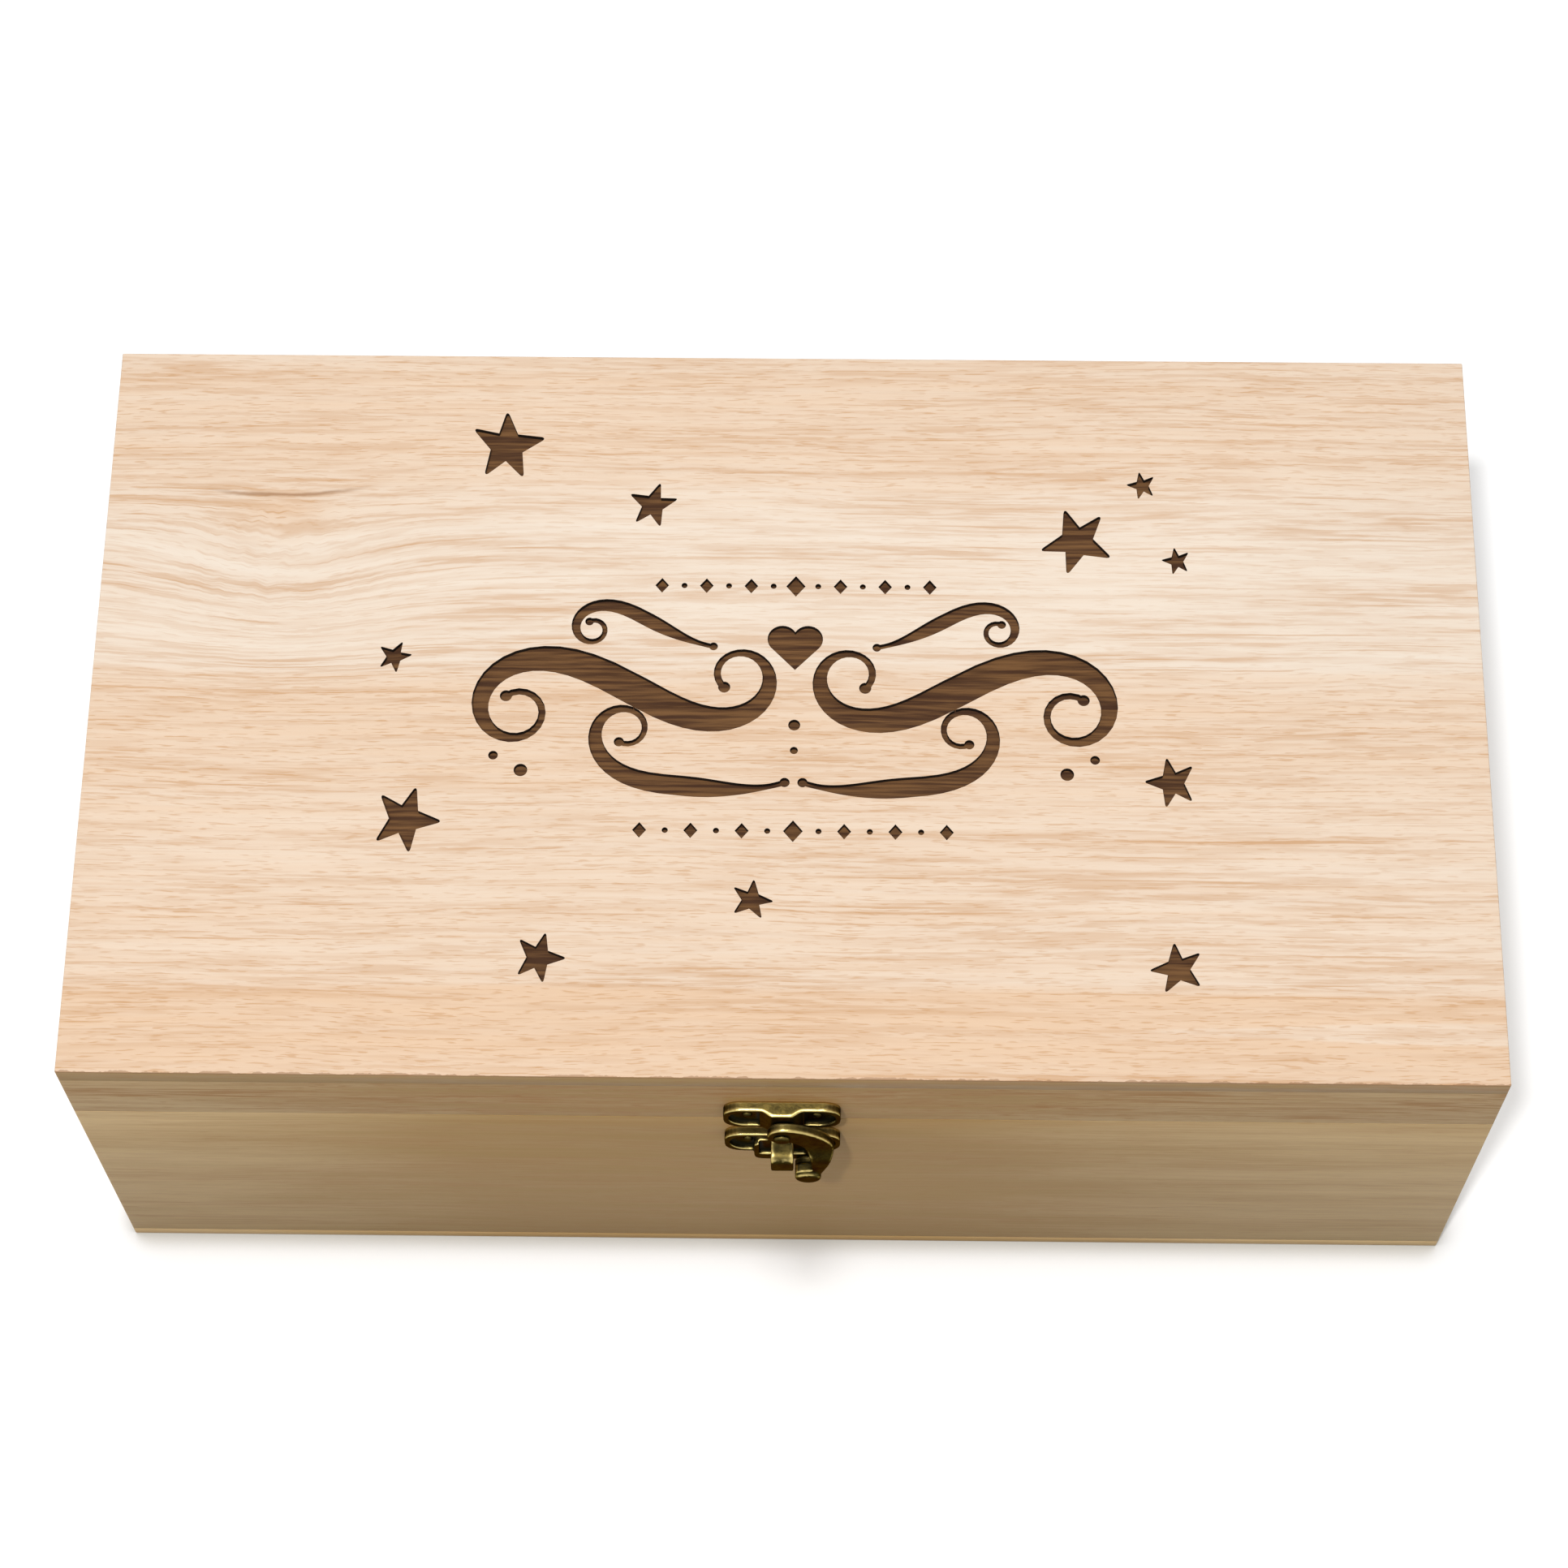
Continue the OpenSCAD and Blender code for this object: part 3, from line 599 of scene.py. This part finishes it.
class Fastener:
    """A Geometry Nodes tree that sets one fastener on each point; its +Z points out of the wood."""

    SHANK_SIDES = 20

    def __init__(self, name, sizes):
        self.tree = bpy.data.node_groups.new(name, "GeometryNodeTree")
        face = self.tree.interface
        face.new_socket("Geometry", in_out="INPUT", socket_type="NodeSocketGeometry")
        face.new_socket("Geometry", in_out="OUTPUT", socket_type="NodeSocketGeometry")
        self.inputs = {size: face.new_socket(size, in_out="INPUT", socket_type="NodeSocketFloat")
                       for size in sizes}
        self.inputs["Material"] = face.new_socket("Material", in_out="INPUT",
                                                  socket_type="NodeSocketMaterial")
        self.bench = Bench(self.tree)

    def size(self, name):
        return self.bench.node("NodeGroupInput", out=name)

    def solid(self, kind, settings, values, lift):
        """A mesh primitive, its middle lifted to this height."""
        shape = self.bench.node(kind, settings, values, out="Mesh")
        place = self.bench.vector(0.0, 0.0, lift)
        return self.bench.node("GeometryNodeTransform", None, {"Geometry": shape, "Translation": place})

    def shank(self, radius, length, top, point):
        """A round shank that ends in a point."""
        straight = {"Vertices": self.SHANK_SIDES, "Radius": radius, "Depth": length - point}
        taper = {"Vertices": self.SHANK_SIDES, "Radius Top": radius, "Radius Bottom": 0.0, "Depth": point}
        return [self.solid("GeometryNodeMeshCylinder", None, straight, top - (length - point) / 2),
                self.solid("GeometryNodeMeshCone", None, taper, top - length)]

    def finish(self, parts, turn):
        """Sets the parts on the points, each turned by up to this angle, as one plain mesh."""
        whole = self.bench.node("GeometryNodeJoinGeometry", None, {"Geometry": parts})
        spin = self.bench.node("FunctionNodeRandomValue", {"data_type": "FLOAT"},
                               {2: -turn, 3: turn, "Seed": 7}, out=1)
        values = {"Points": self.size("Geometry"), "Instance": whole,
                  "Rotation": self.bench.vector(0.0, 0.0, spin)}
        placed = self.bench.node("GeometryNodeInstanceOnPoints", None, values)
        real = self.bench.node("GeometryNodeRealizeInstances", None, {"Geometry": placed})
        coated = self.bench.node("GeometryNodeSetMaterial", None,
                                 {"Geometry": real, "Material": self.size("Material")})
        self.bench.node("NodeGroupOutput", None, {"Geometry": coated})

    def drive_in(self, node, body, values, face_y, outward):
        """Makes a CAD node's fasteners and shows them in its place; outward is the face's way along Y."""
        points = bpy.data.meshes.new(node)
        places = [(x, -outward * z, 0.0) for x, z in piece_places(node)]
        points.from_pydata(places, [], [])
        piece = bpy.data.objects.new(node + "_points", points)
        bpy.context.scene.collection.objects.link(piece)
        modifier = piece.modifiers.new("fasteners", "NODES")
        modifier.node_group = self.tree
        for name, value in values.items():
            modifier[self.inputs[name].identifier] = value
        evaluated = piece.evaluated_get(bpy.context.evaluated_depsgraph_get())
        mesh = bpy.data.meshes.new_from_object(evaluated)
        bpy.data.objects.remove(piece)
        quarter_turn = Matrix.Rotation(-outward * math.pi / 2, 4, "X")
        mesh.transform(Matrix.Translation((0.0, face_y, 0.0)) @ quarter_turn)
        mesh.name = node
        show(node + "_driven", mesh, body, "dark_bronze", node)


NAIL_POINT = 1.6 * MM
SCREW_POINT = 2.2 * MM
SCREW_TURN = 0.5


def nail_tree():
    """A nail with a low domed head on the floor of the plate's eye."""
    nail = Fastener("nail", ["Head radius", "Head height", "Seat", "Shank radius", "Grip"])
    bench = nail.bench
    ball = bench.node("GeometryNodeMeshUVSphere", None, {"Segments": 28, "Rings": 14, "Radius": 1.0})
    x, y, z = bench.separate(bench.node("GeometryNodeInputPosition"))
    domed = bench.vector(x, y, z.at_least(0.0))
    dome = bench.node("GeometryNodeSetPosition", None, {"Geometry": ball, "Position": domed})
    scale = bench.vector(nail.size("Head radius"), nail.size("Head radius"), nail.size("Head height"))
    seat = nail.size("Seat")
    head = bench.node("GeometryNodeTransform", None,
                      {"Geometry": dome, "Translation": bench.vector(0.0, 0.0, seat), "Scale": scale})
    head = bench.node("GeometryNodeSetShadeSmooth", None, {"Geometry": head})
    shank = nail.shank(nail.size("Shank radius"), nail.size("Grip") + seat, seat, NAIL_POINT)
    nail.finish([head, *shank], turn=0.0)
    return nail


def screw_tree():
    """A countersunk screw with a straight slot, flush with the hinge leaf."""
    names = ["Head radius", "Head height", "Slot width", "Slot depth", "Shank radius", "Grip"]
    screw = Fastener("screw", names)
    bench = screw.bench
    high = screw.size("Head height")
    wide = screw.size("Head radius")
    cone = {"Vertices": 40, "Radius Top": wide, "Radius Bottom": screw.size("Shank radius"), "Depth": high}
    head = screw.solid("GeometryNodeMeshCone", None, cone, 0.0)
    bar = bench.vector(wide * 2.4, screw.size("Slot width"), screw.size("Slot depth") * 2)
    slot = screw.solid("GeometryNodeMeshCube", None, {"Size": bar}, high)
    head = bench.node("GeometryNodeMeshBoolean", {"operation": "DIFFERENCE"},
                      {"Mesh 1": head, "Mesh 2": slot})
    shank = screw.shank(screw.size("Shank radius"), screw.size("Grip"), 0.0, SCREW_POINT)
    screw.finish([head, *shank], turn=SCREW_TURN)
    return screw


def fasteners():
    """Nails in the latch plates' eyes and screws in the hinge leaves."""
    dark = bronze("nail_bronze", wear=0.5)
    nail_sizes = {"Head radius": 1.25 * MM, "Head height": 0.7 * MM, "Seat": 1.3 * MM,
                  "Shank radius": 0.6 * MM, "Grip": 7 * MM, "Material": dark}
    nail = nail_tree()
    nail.drive_in("latch_lid_nails", LID, nail_sizes, box_low.y, -1)
    nail.drive_in("latch_base_nails", BASE, nail_sizes, box_low.y, -1)
    screw_sizes = {"Head radius": 1.9 * MM, "Head height": 1.0 * MM, "Slot width": 0.5 * MM,
                   "Slot depth": 0.5 * MM, "Shank radius": 1.0 * MM, "Grip": 6 * MM, "Material": dark}
    screw = screw_tree()
    screw.drive_in("hinge_lid_screws", LID, screw_sizes, box_high.y, 1)
    screw.drive_in("hinge_base_screws", BASE, screw_sizes, box_high.y, 1)


def seen_directly(bench):
    """1 for rays from the camera and for those that metal or glass sends on, 0 for the rest."""
    path = bench.node("ShaderNodeLightPath", out="Is Camera Ray")
    rays = path + path.beside("Is Glossy Ray") + path.beside("Is Transmission Ray")
    return rays.at_most(1.0)


FLOOR_SIZE = 60
FLOOR_MATTE = (0.20, 0.20, 0.20)
FLOOR_SEEN = (0.90, 0.90, 0.90)
# Colour of the floor's painted contact shadow
FLOOR_CONTACT_SHADOW = (0.5, 0.48, 0.43)
CONTACT_REACH = 7 * MM
FLOOR_GLOW = 0.13
SKY_LIGHT = 0.30


def white_floor():
    """A floor that the camera, metal and glass see as white, with a painted contact shadow close round the
    box.
    """
    bpy.ops.mesh.primitive_plane_add(size=FLOOR_SIZE)
    floor = bpy.context.object
    floor.name = "floor"
    material, bench = new_material("white_floor")
    seen = seen_directly(bench)
    # Ambient occlusion darkens the floor's colour near the box: a painted contact shadow
    clear = bench.node("ShaderNodeAmbientOcclusion", {"samples": 12}, {"Distance": CONTACT_REACH}, out="AO")
    bright = bench.mix(FLOOR_CONTACT_SHADOW, FLOOR_SEEN, clear.step(0.45, 1.0))
    matte = bench.node("ShaderNodeBsdfDiffuse", None, {"Color": bench.mix(FLOOR_MATTE, bright, seen)})
    glow = bench.node("ShaderNodeEmission", None, {"Strength": seen * FLOOR_GLOW})
    lit = bench.node("ShaderNodeAddShader", None, {0: matte, 1: glow})
    bench.node("ShaderNodeOutputMaterial", None, {"Surface": lit})
    floor.data.materials.append(material)


def white_sky():
    """A sky that the camera, metal and glass see as white, and that lights the box more dimly."""
    world = bpy.data.worlds.new("sky")
    world.use_nodes = True
    world.node_tree.nodes.clear()
    sky = Bench(world.node_tree)
    strength = SKY_LIGHT + seen_directly(sky) * (1 - SKY_LIGHT)
    backdrop = sky.node("ShaderNodeBackground", None, {"Color": (1, 1, 1, 1), "Strength": strength})
    sky.node("ShaderNodeOutputWorld", None, {"Surface": backdrop})
    bpy.context.scene.world = world


def sun_lamp(name, energy, angle, slope_x, slope_y):
    """A distant lamp; its light goes this far to the right and to the back for each step down."""
    sun = bpy.data.lights.new(name, "SUN")
    sun.energy = energy
    sun.angle = math.radians(angle)
    lamp = bpy.data.objects.new(name, sun)
    lamp.rotation_euler = Vector((slope_x, slope_y, -1.0)).to_track_quat("-Z", "Y").to_euler()
    bpy.context.scene.collection.objects.link(lamp)


def lamps():
    """A broad lamp almost straight above, and one from the front left that throws the box's shadow."""
    sun_lamp("ceiling_light", energy=1.20, angle=10.0, slope_x=0.02, slope_y=-0.01)
    sun_lamp("window_light", energy=1.33, angle=3.0, slope_x=0.217, slope_y=0.335)


# The photograph's camera, from the box's six visible corners
PHOTO_WIDTH = 1932
LENS_IN_PIXELS = 4825.6
SENSOR = 36.0
CAMERA_PLACE = (0.01034, -0.42511, 1.01018)
CAMERA_TURN = (24.478, 0.366, 0.716)


def photo_camera():
    data = bpy.data.cameras.new("photo_camera")
    data.sensor_width = SENSOR
    data.lens = SENSOR * LENS_IN_PIXELS / PHOTO_WIDTH
    camera = bpy.data.objects.new("photo_camera", data)
    camera.location = CAMERA_PLACE
    camera.rotation_euler = [math.radians(a) for a in CAMERA_TURN]
    bpy.context.scene.collection.objects.link(camera)
    bpy.context.scene.camera = camera


bpy.context.scene.view_settings.view_transform = "Standard"
photo_camera()
lamps()
white_floor()
white_sky()
boards()
latch()
hinges()
fasteners()
